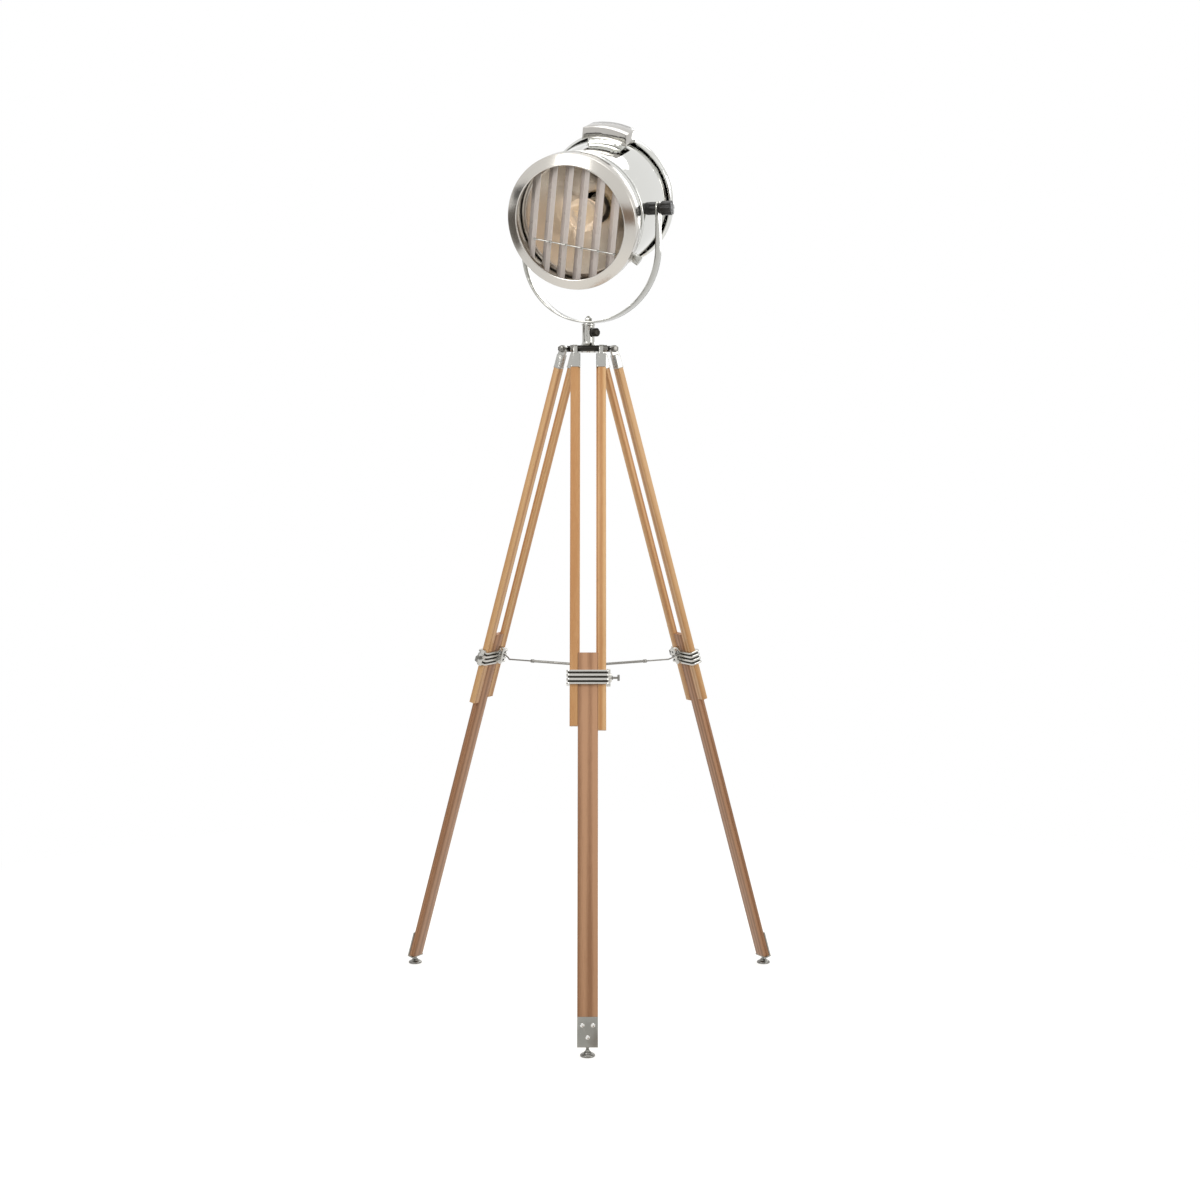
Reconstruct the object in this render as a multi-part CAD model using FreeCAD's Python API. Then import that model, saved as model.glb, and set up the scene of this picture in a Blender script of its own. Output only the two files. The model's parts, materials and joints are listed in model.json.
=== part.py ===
import FreeCAD, Part
import math
import os

# Tripod spotlight floor lamp: a spun metal lamp head with a shuttered front,
# carried by a flat-strip yoke on a three-legged wooden stand.
# Units are millimetres, +Z is up and the front leg points to -Y.
# The origin is on the floor, at the middle of the stand's footprint.

os.makedirs("parts", exist_ok=True)
Vec = FreeCAD.Vector
ORIGIN = Vec(0, 0, 0)
X_AXIS = Vec(1, 0, 0)
Y_AXIS = Vec(0, 1, 0)
Z_AXIS = Vec(0, 0, 1)

# ---- driving dimensions: stand ----
hinge_height = 1190.0       # leg hinge above the floor
hinge_radius = 39.0         # leg hinge from the stand's axis
splay = 16.7                # leg angle from upright, degrees
rail_width = 17.4
rail_depth = 11.0
rail_gap = 28.7             # between the two rails of a leg
rebate = 3.4                # step in each rail's inner edge, where the lower leg runs
left_rail_end = 682.5       # measured down the leg from the hinge
right_rail_end = 689.8
ferrule_length = 36.0
ferrule_top = 11.0          # ferrule's box ends this far below the hinge
tenon_top = 15.0
lug_half = 3.5              # hinge lug on the ferrule: half its width
lug_radius = 6.5
clamp_station = 598.0       # clamp's middle, down the leg
clamp_height = 25.0
clamp_wall = 5.6
lower_leg_top = 554.0
lower_leg_end = 1224.8
slide_clearance = 0.25
shoe_length = 48.0
shoe_thickness = 2.5
foot_pad_radius = 13.0
foot_pad_height = 5.0
foot_ball_radius = 4.0
foot_ball_drop = 6.0        # from the shoe's sole to the ball's centre
hinge_bolt_radius = 3.0
barrel_radius = 5.5
sleeve_radius = 11.2
sleeve_foot = 1203.5        # where the hub's flare meets the sleeve
sleeve_top = 1234.9
post_radius = 6.0
pan_lock_height = 1219.0
pan_lock_turn = 40.0        # the knob's place round the sleeve

# ---- driving dimensions: spreader ----
eye_reach = 6.0             # from the clamp's inner face to the middle of its eye slot
eye_rise = 14.5             # and above the clamp's middle
hook_rise = 14.0            # the rod's end bends up this far to the eye
tube_radius = 2.4
rod_radius = 1.35
tube_end = 124.0            # tube's outer end from the axis
rod_inner_end = 62.0

# ---- driving dimensions: yoke ----
pan = 21.4                  # the head is turned this far to its left
tilt = 16.5                 # and looks down this far
roll = 12.0                 # and its shell is turned this far about its own axis
pivot_height = 1437.0
yoke_radius = 129.0         # to the middle of the strip
yoke_offset = 5.0           # the U is bent this far off its bolt hole
strip_width = 25.0
strip_thickness = 3.0
bush_radius = 11.5
knob_radius = 12.8
knob_length = 24.0

# ---- driving dimensions: head, along its axis from the tilt pivot, front positive ----
sheet = 1.2
front_face = 107.0
bezel_radius = 121.0
window_radius = 101.0
bezel_slope = 8.0           # the bezel's face falls back this far at its edge
skirt_rear = 75.0
collar_front = 81.0
collar_front_radius = 117.5
collar_rear_radius = 112.0
bead_station = 38.0
body_front_radius = 107.0
body_rear_radius = 117.0
body_rear = -98.0
rim_radius = 122.2
rim_station = -102.0
dome_depth = 32.0
slat_plane = 87.0
slat_width = 31.0
slat_thickness = 0.9
slat_pitch = 30.0
slat_angle = 46.0           # from edge-on, at rest
slat_count = 6
band_radius = 108.0
tie_height = -41.0
tie_reach = 17.7            # tie bar's pins, along the blade from its axis
tie_standoff = 2.5
vent_width = 84.0
vent_front = -35.0
vent_depth = 53.0
vent_edge = 137.0           # the roof's side edges, above the head's axis
vent_skirt = 20.0
catch_angle = -25.0
catch_station = 63.0
door_hinge_angle = 185.0    # on the side turned away from the catch
door_hinge_station = 73.0
door_hinge_radius = 125.5

# the footprint reaches forward to the front pad and back to the rear shoes' corners
lean = math.sin(math.radians(splay))
upright = math.cos(math.radians(splay))
leg_half_width = rail_gap / 2 + rebate - slide_clearance
leg_half_depth = rail_depth / 2 - slide_clearance
foot_radius = hinge_radius + (lower_leg_end + shoe_thickness + foot_ball_drop) * lean
shoe_corner = (hinge_radius + (lower_leg_end + shoe_thickness) * lean
               + (leg_half_depth + shoe_thickness) * upright)
front_reach = foot_radius + foot_pad_radius
rear_reach = shoe_corner * math.cos(math.radians(60)) + leg_half_width * math.sin(math.radians(60))
stand_axis_y = (front_reach - rear_reach) / 2
lug_centre = rail_gap / 2 + rail_width / 2
leg_turn = {"front": 0.0, "right": 120.0, "left": 240.0}


# ---- small shapes ----
def box(x0, x1, y0, y1, z0, z1):
    return Part.makeBox(x1 - x0, y1 - y0, z1 - z0, Vec(x0, y0, z0))


def rod(radius, start, end):
    path = end - start
    return Part.makeCylinder(radius, path.Length, start, path)


def prism(points, push):
    loop = Part.makePolygon(points + [points[0]])
    return Part.Face(loop).extrude(push)


def spun(profile):
    # profile is a closed list of (station, radius) round the head's own axis
    points = [Vec(radius, -station, 0) for station, radius in profile]
    loop = Part.makePolygon(points + [points[0]])
    return Part.Face(loop).revolve(ORIGIN, Y_AXIS, 360)


def hexagon(across, start, end):
    path = end - start
    side = Vec(0, 0, 1) if abs(path.x) + abs(path.y) > abs(path.z) else Vec(1, 0, 0)
    along = Vec(path).normalize()
    side = (side - along * side.dot(along)).normalize()
    other = along.cross(side)
    reach = across / math.sqrt(3)
    corners = []
    for k in range(6):
        turn = math.radians(60 * k)
        corners.append(start + side * (reach * math.cos(turn)) + other * (reach * math.sin(turn)))
    return prism(corners, path)


def soften(shape, radius, direction):
    # rounds the straight edges that run along one direction
    edges = []
    for edge in shape.Edges:
        run = edge.Vertexes[-1].Point - edge.Vertexes[0].Point
        if run.Length > 1 and abs(run.normalize().dot(direction)) > 0.999:
            edges.append(edge)
    return shape.makeFillet(radius, edges)


def fused(shapes):
    whole = shapes[0].multiFuse(shapes[1:])
    return whole.removeSplitter()


def save(name, shape):
    shape.exportStep("parts/%s.step" % name)


# ---- places ----
def on_stand(shape):
    placed = shape.copy()
    placed.translate(Vec(0, stand_axis_y, 0))
    return placed


def on_leg(shape, turn):
    # leg's own frame: X to the right seen from outside, -Y outwards, hinge at the origin
    placed = shape.copy()
    placed.rotate(ORIGIN, X_AXIS, -splay)
    placed.translate(Vec(0, -hinge_radius, hinge_height))
    placed.rotate(ORIGIN, Z_AXIS, turn)
    return on_stand(placed)


def on_post(shape):
    placed = shape.copy()
    placed.rotate(ORIGIN, Z_AXIS, -pan)
    placed.translate(Vec(0, 0, pivot_height))
    return on_stand(placed)


def on_yoke(shape):
    placed = shape.copy()
    placed.translate(Vec(yoke_offset, 0, 0))
    return on_post(placed)


def on_pivots(shape):
    # pieces on the tilt axis: they tilt with the head but are not rolled
    placed = shape.copy()
    placed.rotate(ORIGIN, X_AXIS, tilt)
    return on_yoke(placed)


def on_head(shape):
    placed = shape.copy()
    placed.rotate(ORIGIN, Y_AXIS, roll)
    return on_pivots(placed)


def round_head(shape, angle):
    # carries a piece modelled at the +X side of the head round to an angle, towards +Z
    placed = shape.copy()
    placed.rotate(ORIGIN, Y_AXIS, -angle)
    return placed


# ---- hub: cast centre with three hinge barrels, a flared foot and a sleeve ----
def make_hub():
    web_half = 9.0
    web_height = 5.0
    hub_floor = hinge_height - 7.0
    flare = [(8.0, hub_floor), (15.0, hub_floor), (18.5, hinge_height + 2), (18.5, hinge_height + 5)]
    for step in range(1, 6):
        swing = math.radians(90 * step / 5)
        radius = 18.5 - (18.5 - sleeve_radius) * math.sin(swing)
        height = hinge_height + 5 + (sleeve_foot - hinge_height - 5) * (1 - math.cos(swing))
        flare.append((radius, height))
    flare += [(sleeve_radius, sleeve_top - 4), (sleeve_radius + 1, sleeve_top - 3)]
    flare += [(sleeve_radius + 1, sleeve_top), (post_radius + 0.06, sleeve_top)]
    flare += [(post_radius + 0.06, hinge_height + 4), (0, hinge_height + 4), (0, hub_floor)]
    points = [Vec(radius, 0, height) for radius, height in flare]
    loop = Part.makePolygon(points + [points[0]])
    centre = Part.Face(loop).revolve(ORIGIN, Z_AXIS, 360)
    pieces = [centre]
    barrel_half = lug_centre - lug_half - 0.35
    for turn in leg_turn.values():
        web = box(-web_half, web_half, -hinge_radius, 0, hinge_height - web_height, hinge_height + web_height)
        barrel = rod(barrel_radius, Vec(-barrel_half, -hinge_radius, hinge_height),
                     Vec(barrel_half, -hinge_radius, hinge_height))
        arm = web.fuse(barrel)
        arm.rotate(ORIGIN, Z_AXIS, turn)
        pieces.append(arm)
    hub = fused(pieces)
    bore = rod(post_radius + 0.06, Vec(0, 0, hinge_height + 4), Vec(0, 0, sleeve_top + 1))
    hub = hub.cut(bore)
    for turn in leg_turn.values():
        bolt_hole = rod(hinge_bolt_radius, Vec(-40, -hinge_radius, hinge_height),
                        Vec(40, -hinge_radius, hinge_height))
        bolt_hole.rotate(ORIGIN, Z_AXIS, turn)
        hub = hub.cut(bolt_hole)
    screw_hole = rod(2.55, Vec(0, -4, pan_lock_height), Vec(0, -14, pan_lock_height))
    screw_hole.rotate(ORIGIN, Z_AXIS, pan_lock_turn)
    return hub.cut(screw_hole)


# ---- hinge bolts: one through each leg top, with washers, head and nut ----
def make_hinge_bolts():
    lug_side = lug_centre + lug_half
    washer = 1.2
    solids = []
    for turn in leg_turn.values():
        here = Vec(0, -hinge_radius, hinge_height)
        shank = rod(hinge_bolt_radius, here + Vec(-lug_side - washer - 2, 0, 0),
                    here + Vec(lug_side + washer + 7.5, 0, 0))
        head = hexagon(10, here + Vec(-lug_side - washer - 4.5, 0, 0),
                       here + Vec(-lug_side - washer - 0.1, 0, 0))
        left_washer = rod(6.5, here + Vec(-lug_side - washer - 0.1, 0, 0),
                          here + Vec(-lug_side - 0.1, 0, 0))
        right_washer = rod(6.5, here + Vec(lug_side + 0.1, 0, 0),
                           here + Vec(lug_side + washer + 0.1, 0, 0))
        nut = hexagon(10, here + Vec(lug_side + washer + 0.1, 0, 0),
                      here + Vec(lug_side + washer + 6, 0, 0))
        bolt = fused([shank, head, left_washer, right_washer, nut])
        bolt.rotate(ORIGIN, Z_AXIS, turn)
        solids.append(bolt)
    return Part.makeCompound(solids)


# ---- pan lock: knurled thumb knob whose screw bears on the post ----
def make_pan_lock():
    shank = rod(2.5, Vec(0, -post_radius - 0.2, pan_lock_height), Vec(0, -16, pan_lock_height))
    neck = rod(4.0, Vec(0, -sleeve_radius - 0.3, pan_lock_height), Vec(0, -15, pan_lock_height))
    grip = rod(7.6, Vec(0, -14.5, pan_lock_height), Vec(0, -24, pan_lock_height))
    crown = Part.makeCone(7.6, 5.2, 2.2, Vec(0, -24, pan_lock_height), Vec(0, -1, 0))
    knob = fused([shank, neck, grip, crown])
    for k in range(12):
        turn = math.radians(30 * k)
        groove_at = Vec(7.9 * math.cos(turn), 0, pan_lock_height + 7.9 * math.sin(turn))
        groove = rod(0.8, groove_at + Vec(0, -13, 0), groove_at + Vec(0, -28, 0))
        knob = knob.cut(groove)
    knob.rotate(ORIGIN, Z_AXIS, pan_lock_turn)
    return knob


# ---- upper leg: two rebated rails, each with a cast ferrule on its top ----
def make_rail(side, end):
    inner = rail_gap / 2
    outer = inner + rail_width
    half = rail_depth / 2
    section = [Vec(inner + rebate, -half, 0), Vec(outer, -half, 0), Vec(outer, half, 0),
               Vec(inner, half, 0), Vec(inner, 0, 0), Vec(inner + rebate, 0, 0)]
    top = -ferrule_length
    bar = prism([point + Vec(0, 0, -end) for point in section], Vec(0, 0, end + top))
    outer_edges = []
    for edge in bar.Edges:
        start = edge.Vertexes[0].Point
        finish = edge.Vertexes[-1].Point
        if abs(start.x - outer) < 0.01 and abs(finish.x - outer) < 0.01 and abs(start.z - finish.z) > 1:
            outer_edges.append(edge)
    bar = bar.makeFillet(1.8, outer_edges)
    tenon = box(inner + 4.4, outer - 1.8, -half + 1.8, half - 1.8, top - 1, -tenon_top)
    rail = fused([bar, tenon])
    if side < 0:
        rail = rail.mirror(ORIGIN, X_AXIS)
    return rail


def make_ferrules():
    inner = rail_gap / 2 - 0.2
    outer = rail_gap / 2 + rail_width + 0.2
    half = rail_depth / 2 + 0.5
    body = box(inner, outer, -half, half, -ferrule_length, -ferrule_top)
    body = soften(body, 2.2, Z_AXIS)
    lug_start = lug_centre - lug_half
    lug_end = lug_centre + lug_half
    lug = box(lug_start, lug_end, -lug_radius, lug_radius, -ferrule_top - 1, 0)
    eye = rod(lug_radius, Vec(lug_start, 0, 0), Vec(lug_end, 0, 0))
    lip = box(inner, outer, -half - 0.5, half + 0.5, -ferrule_length, -ferrule_length + 3)
    lip = soften(lip, 2.4, Z_AXIS)
    ferrule = fused([body, lug, eye, lip])
    socket = box(rail_gap / 2 + 4.4, rail_gap / 2 + rail_width - 1.8, -rail_depth / 2 + 1.8,
                 rail_depth / 2 - 1.8, -ferrule_length - 1, -tenon_top)
    ferrule = ferrule.cut(socket)
    ferrule = ferrule.cut(rod(hinge_bolt_radius + 0.08, Vec(inner - 1, 0, 0), Vec(outer + 1, 0, 0)))
    return Part.makeCompound([ferrule, ferrule.mirror(ORIGIN, X_AXIS)])


# ---- leg clamp: cast band with ribs, a boss for the thumbscrew and a hook eye inside ----
def make_clamp():
    side = rail_gap / 2 + rail_width
    half = rail_depth / 2
    wall = clamp_wall
    low = -clamp_station - clamp_height / 2
    high = -clamp_station + clamp_height / 2
    band = box(-side - wall, side + wall, -half - wall, half + wall, low, high)
    band = soften(band, 5.0, Z_AXIS)
    groove_height = 3.7
    core_cut = box(-60, 60, -40, 40, 0, groove_height)
    core_keep = box(-side - 3.2, side + 3.2, -half - 3.2, half + 3.2, 0, groove_height)
    core_keep = soften(core_keep, 2.6, Z_AXIS)
    groove = core_cut.cut(core_keep)
    for k in (-1, 0, 1):
        ring = groove.copy()
        ring.translate(Vec(0, 0, -clamp_station - groove_height / 2 + 7.6 * k))
        band = band.cut(ring)
    boss = rod(7.5, Vec(side + 1, 0, -clamp_station), Vec(side + 9.5, 0, -clamp_station))
    ear = box(side + 1.0, side + 7.5, -half + 1, half - 1, low - 3, high + 3)
    ear = soften(ear, 3.0, X_AXIS)
    band = fused([band, boss, ear])
    band = band.cut(box(-side, side, -half, half, low - 5, high + 5))
    band = band.cut(rod(2.05, Vec(side - 1, 0, -clamp_station), Vec(side + 12, 0, -clamp_station)))
    eye_margin = 9.0
    eye = box(-2.0, 2.0, half + wall - 1, half + wall + 12,
              -clamp_station - eye_margin, -clamp_station + eye_rise + eye_margin)
    eye = soften(eye, 2.0, X_AXIS)
    slot = box(-3, 3, half + wall + eye_reach - 2.4, half + wall + eye_reach + 2.4,
               -clamp_station + eye_rise - 5.5, -clamp_station + eye_rise + 5.5)
    return fused([band, eye.cut(slot)])


def make_thumbscrew():
    side = rail_gap / 2 + rail_width
    tip = side + 0.3
    at = -clamp_station
    shank = rod(2.0, Vec(tip, 0, at), Vec(side + 21, 0, at))
    collar = rod(3.6, Vec(side + 9.8, 0, at), Vec(side + 12, 0, at))
    wing = box(side + 19.5, side + 23.5, -1.7, 1.7, at - 5.4, at + 5.4)
    wing = soften(wing, 1.5, X_AXIS)
    return fused([shank, collar, wing])


# ---- lower leg: one bar, rebated on its rear edges to run between the rails ----
def make_lower_leg():
    half_width = leg_half_width
    web_half = rail_gap / 2 - slide_clearance
    half = leg_half_depth
    step = -slide_clearance
    length = lower_leg_end - lower_leg_top
    section = [Vec(-half_width, -half, 0), Vec(half_width, -half, 0), Vec(half_width, step, 0),
               Vec(web_half, step, 0), Vec(web_half, half, 0), Vec(-web_half, half, 0),
               Vec(-web_half, step, 0), Vec(-half_width, step, 0)]
    bar = prism([point + Vec(0, 0, -lower_leg_end) for point in section], Vec(0, 0, length))
    corner_edges = []
    for edge in bar.Edges:
        start = edge.Vertexes[0].Point
        finish = edge.Vertexes[-1].Point
        is_long = abs(start.z - finish.z) > 1
        if is_long and abs(start.y + half) < 0.01:
            corner_edges.append(edge)
    return bar.makeFillet(1.6, corner_edges)


def make_shoe():
    half_width = leg_half_width
    face = -leg_half_depth
    top = -lower_leg_end + shoe_length
    plate = box(-half_width, half_width, face - shoe_thickness, face, -lower_leg_end, top)
    sole = box(-half_width, half_width, face - shoe_thickness, rail_depth / 2 - 1,
               -lower_leg_end - shoe_thickness, -lower_leg_end)
    shoe = fused([plate, sole])
    screws = []
    for across, up in ((-9, 34), (9, 34), (0, 14)):
        at = Vec(across, face - shoe_thickness, -lower_leg_end + up)
        head = Part.makeCone(4.4, 2.8, 1.9, at, Vec(0, -1, 0))
        shank = rod(1.6, at, at + Vec(0, shoe_thickness, 0))
        shoe = shoe.cut(shank)
        screws.append(head.fuse(shank).removeSplitter())
    return Part.makeCompound([shoe] + screws)


def foot_ball():
    # centre of the foot's swivel, in the leg's own frame and in the stand's
    down = -lower_leg_end - shoe_thickness - foot_ball_drop
    local = Vec(0, 0, down)
    angle = math.radians(-splay)
    turned_y = local.y * math.cos(angle) - local.z * math.sin(angle)
    turned_z = local.y * math.sin(angle) + local.z * math.cos(angle)
    return Vec(0, turned_y - hinge_radius, turned_z + hinge_height)


def make_foot(turn):
    ball = foot_ball()
    pad_profile = [(0, 0), (foot_pad_radius - 1, 0), (foot_pad_radius, 1.2),
                   (foot_pad_radius - 0.6, foot_pad_height - 1.6), (foot_pad_radius - 3, foot_pad_height),
                   (8.0, foot_pad_height), (5.6, ball.z - 0.4), (0, ball.z - 0.4)]
    points = [Vec(radius, ball.y, height) for radius, height in pad_profile]
    loop = Part.makePolygon(points + [points[0]])
    pad = Part.Face(loop).revolve(Vec(0, ball.y, 0), Z_AXIS, 360)
    pad = pad.cut(Part.makeSphere(foot_ball_radius + 0.06, ball))
    pad.rotate(ORIGIN, Z_AXIS, turn)
    return on_stand(pad)


def make_foot_stud():
    sole = -lower_leg_end - shoe_thickness
    ball = Part.makeSphere(foot_ball_radius, Vec(0, 0, sole - foot_ball_drop))
    stem = rod(2.6, Vec(0, 0, sole), Vec(0, 0, sole - foot_ball_drop))
    return fused([ball, stem])


# ---- spreader: three tubes from a centre disc, a hooked rod sliding in each ----
def spreader_height():
    return eye_centre().z - hook_rise


def make_spreader_hub():
    height = spreader_height()
    disc = rod(17, Vec(0, 0, height - 4), Vec(0, 0, height + 4))
    cap = Part.makeCone(9, 6, 3, Vec(0, 0, height + 4), Z_AXIS)
    hub = fused([disc, cap])
    for turn in leg_turn.values():
        seat = rod(tube_radius, Vec(0, -10, height), Vec(0, -20, height))
        seat.rotate(ORIGIN, Z_AXIS, turn)
        hub = hub.cut(seat)
    return hub


def make_spreader_tubes():
    height = spreader_height()
    tubes = []
    for turn in leg_turn.values():
        tube = rod(tube_radius, Vec(0, -10, height), Vec(0, -tube_end, height))
        collar = rod(tube_radius + 0.8, Vec(0, -tube_end + 6, height), Vec(0, -tube_end, height))
        bore = rod(rod_radius + 0.08, Vec(0, -9, height), Vec(0, -tube_end - 1, height))
        arm = fused([tube, collar]).cut(bore)
        arm.rotate(ORIGIN, Z_AXIS, turn)
        tubes.append(arm)
    return Part.makeCompound(tubes)


def make_spreader_rod():
    # straight in the tube, then up beside the clamp's eye and sideways through it
    height = spreader_height()
    eye = eye_centre()
    beside = 4.4
    points = [Vec(0, -rod_inner_end, height), Vec(0, eye.y + hook_rise + 4, height),
              Vec(-beside, eye.y + hook_rise - 1.5, height + 3), Vec(-beside, eye.y + 1, eye.z - 4),
              Vec(-beside, eye.y, eye.z), Vec(beside, eye.y, eye.z)]
    pieces = []
    for start, finish in zip(points, points[1:]):
        pieces.append(rod(rod_radius, start, finish))
        pieces.append(Part.makeSphere(rod_radius, finish))
    return fused(pieces)


def eye_centre():
    # middle of the clamp's eye slot, in the front leg's place
    local = Vec(0, rail_depth / 2 + clamp_wall + eye_reach, -clamp_station + eye_rise)
    angle = math.radians(-splay)
    turned_y = local.y * math.cos(angle) - local.z * math.sin(angle)
    turned_z = local.y * math.sin(angle) + local.z * math.cos(angle)
    return Vec(0, turned_y - hinge_radius, turned_z + hinge_height)


# ---- yoke, post and their nut ----
def yoke_strip(radius, half):
    bend_centre = -(pivot_height - (sleeve_top + 0.9 + strip_thickness / 2 + yoke_radius))
    outline = Part.makeCylinder(radius, 2 * half, Vec(0, -half, bend_centre), Y_AXIS)
    arms = box(-radius, radius, -half, half, bend_centre, 40)
    return outline.fuse(arms)


def make_yoke():
    half = strip_width / 2
    outer = yoke_strip(yoke_radius + strip_thickness / 2, half)
    inner = yoke_strip(yoke_radius - strip_thickness / 2, half + 1)
    strip = outer.cut(inner)
    keep_below = box(-200, 200, -50, 50, -400, 0)
    ends = rod(half, Vec(-200, 0, 0), Vec(200, 0, 0))
    strip = strip.common(fused([keep_below, ends]))
    strip = strip.cut(rod(4.1, Vec(-200, 0, 0), Vec(200, 0, 0)))
    strip = strip.cut(rod(4.0, Vec(-yoke_offset, 0, -230), Vec(-yoke_offset, 0, -180)))
    return strip.removeSplitter()


def make_post():
    strip_bottom = sleeve_top + 0.9 - pivot_height
    strip_top = strip_bottom + strip_thickness
    stem = rod(post_radius, Vec(0, 0, hinge_height + 6 - pivot_height), Vec(0, 0, strip_bottom - 0.5))
    washer = rod(9.5, Vec(0, 0, strip_bottom - 0.6), Vec(0, 0, strip_bottom))
    neck = rod(4.0, Vec(0, 0, strip_bottom), Vec(0, 0, strip_top + 1))
    nut = hexagon(12, Vec(0, 0, strip_top + 0.7), Vec(0, 0, strip_top + 6))
    dome = Part.makeSphere(5.0, Vec(0, 0, strip_top + 5.2))
    return fused([stem, washer, neck, nut, dome])


# ---- tilt pivots: bush, bolt and lobed knob on each side ----
def knob_flutes(radius, flute_radius, start, end):
    # six hollows round a grip on the tilt axis
    flutes = []
    reach = radius + 0.62 * flute_radius
    for k in range(6):
        turn = math.radians(60 * k + 30)
        across = Vec(0, reach * math.cos(turn), reach * math.sin(turn))
        flutes.append(rod(flute_radius, Vec(start, 0, 0) + across, Vec(end, 0, 0) + across))
    return flutes


def make_tilt_bushes():
    solids = []
    for side in (-1, 1):
        inner = 106.0 * side
        outer = (yoke_radius - strip_thickness / 2 - 0.2) * side
        bush = rod(bush_radius, Vec(inner, 0, 0), Vec(outer, 0, 0))
        for flute in knob_flutes(bush_radius, 4.4, outer - 13 * side, outer + side):
            bush = bush.cut(flute)
        stud = rod(4.0, Vec(inner - 3 * side, 0, 0), Vec((yoke_radius + 17) * side, 0, 0))
        shell_room = spun([(60, 0), (60, cone_radius(60)), (-60, cone_radius(-60)), (-60, 0)])
        solids.append(fused([bush.cut(shell_room), stud]))
    return solids


def make_tilt_knob(side):
    start = (yoke_radius + strip_thickness / 2 + 0.4) * side
    neck_end = start + 5 * side
    end = start + knob_length * side
    neck = rod(9.5, Vec(start, 0, 0), Vec(neck_end, 0, 0))
    grip = rod(knob_radius, Vec(neck_end, 0, 0), Vec(end, 0, 0))
    knob = fused([neck, grip])
    for flute in knob_flutes(knob_radius, 4.7, neck_end - side, end + side):
        knob = knob.cut(flute)
    return knob.cut(rod(4.04, Vec(start - side, 0, 0), Vec(start + 16.5 * side, 0, 0)))


# ---- head shell ----
def cone_radius(station):
    run = (bead_station - station) / (bead_station - body_rear)
    return body_front_radius + run * (body_rear_radius - body_front_radius)


def make_drum():
    front = bead_station - 4
    outer = [(front, cone_radius(front)), (body_rear, cone_radius(body_rear))]
    inner = [(body_rear, cone_radius(body_rear) - sheet), (front, cone_radius(front) - sheet)]
    shell = spun(outer + inner)
    pivot_holes = rod(4.0, Vec(-150, 0, 0), Vec(150, 0, 0))
    pivot_holes.rotate(ORIGIN, Y_AXIS, -roll)
    shell = shell.cut(pivot_holes)
    throat = box(-32, 32, -vent_front + 8, -vent_front + vent_depth - 8, 60, 200)
    return shell.cut(throat)


def make_collar():
    # front half of the shell: a tapered ring that ends in a rolled bead at its rear
    bead = 2.5
    profile = [(collar_front, collar_front_radius), (bead_station + bead, collar_rear_radius)]
    for step in range(1, 9):
        swing = math.radians(180 * step / 8)
        profile.append((bead_station + bead * math.cos(swing), collar_rear_radius + bead * math.sin(swing)))
    seat = bead_station - 4
    profile += [(seat, collar_rear_radius), (seat, cone_radius(seat)), (seat + sheet, cone_radius(seat))]
    profile += [(seat + sheet, collar_rear_radius - sheet), (bead_station + bead, collar_rear_radius - sheet)]
    profile += [(collar_front, collar_front_radius - sheet)]
    return spun(profile)


def make_rear_cover():
    # pan cover with a rolled double rim, closed by a shallow dome
    seat = body_rear
    profile = [(seat + 7, body_rear_radius + 0.6), (seat + 7, rim_radius - 2.6), (seat + 5.5, rim_radius - 0.8)]
    profile += [(seat + 3, rim_radius - 0.8), (seat + 1.8, rim_radius - 2.2), (seat + 0.4, rim_radius - 0.9)]
    profile += [(seat - 1.4, rim_radius), (rim_station - 3.2, rim_radius), (rim_station - 4.6, rim_radius - 1.6)]
    rear = rim_station - 5
    for step in range(1, 7):
        swing = math.radians(90 * step / 6)
        radius = (rim_radius - 9) * math.cos(swing) + 4 * math.sin(swing) * (step < 6)
        profile.append((rear - dome_depth * math.sin(swing), max(radius, 0)))
    rear_point = rear - dome_depth
    profile += [(rear_point + sheet, 0)]
    for step in range(5, 0, -1):
        swing = math.radians(90 * step / 6)
        radius = (rim_radius - 9) * math.cos(swing) + 4 * math.sin(swing) - sheet
        profile.append((rear - (dome_depth - sheet) * math.sin(swing), radius))
    profile += [(rear + 0.5, rim_radius - 11), (seat - 1.2, body_rear_radius - 1), (seat - 1.2, body_rear_radius)]
    profile += [(seat, body_rear_radius), (seat, body_rear_radius + 0.6)]
    cover = spun(profile)
    gland_hole = rod(5.0, Vec(0, 60, -70), Vec(0, 200, -70))
    return cover.cut(gland_hole)


def make_cord_gland():
    rear = -(rim_station - 5) + dome_depth * 0.5
    body = rod(4.98, Vec(0, rear, -70), Vec(0, rear + 24, -70))
    flange = rod(8.0, Vec(0, rear + 17, -70), Vec(0, rear + 21, -70))
    tail = Part.makeCone(6.2, 4.2, 14, Vec(0, rear + 21, -70), Y_AXIS)
    gland = fused([body, flange, tail])
    return gland.cut(rod(2.8, Vec(0, rear - 1, -70), Vec(0, rear + 50, -70)))


# ---- vent: square throat on the drum, under a roof that follows its curve ----
def roof_radius():
    return math.hypot(vent_width / 2, vent_edge)


def make_vent_cap():
    half = vent_width / 2
    front = -vent_front
    rear = front + vent_depth
    outer_round = Part.makeCylinder(roof_radius(), vent_depth, Vec(0, front, 0), Y_AXIS)
    under_round = Part.makeCylinder(roof_radius() - vent_skirt, vent_depth, Vec(0, front, 0), Y_AXIS)
    block = box(-half, half, front, rear, 60, 200)
    cap = block.common(outer_round)
    inner_round = Part.makeCylinder(roof_radius() - sheet, vent_depth, Vec(0, front, 0), Y_AXIS)
    hollow = box(-half + sheet, half - sheet, front + sheet, rear - sheet, 50, 200)
    return cap.cut(hollow.common(inner_round)).cut(under_round)


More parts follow.
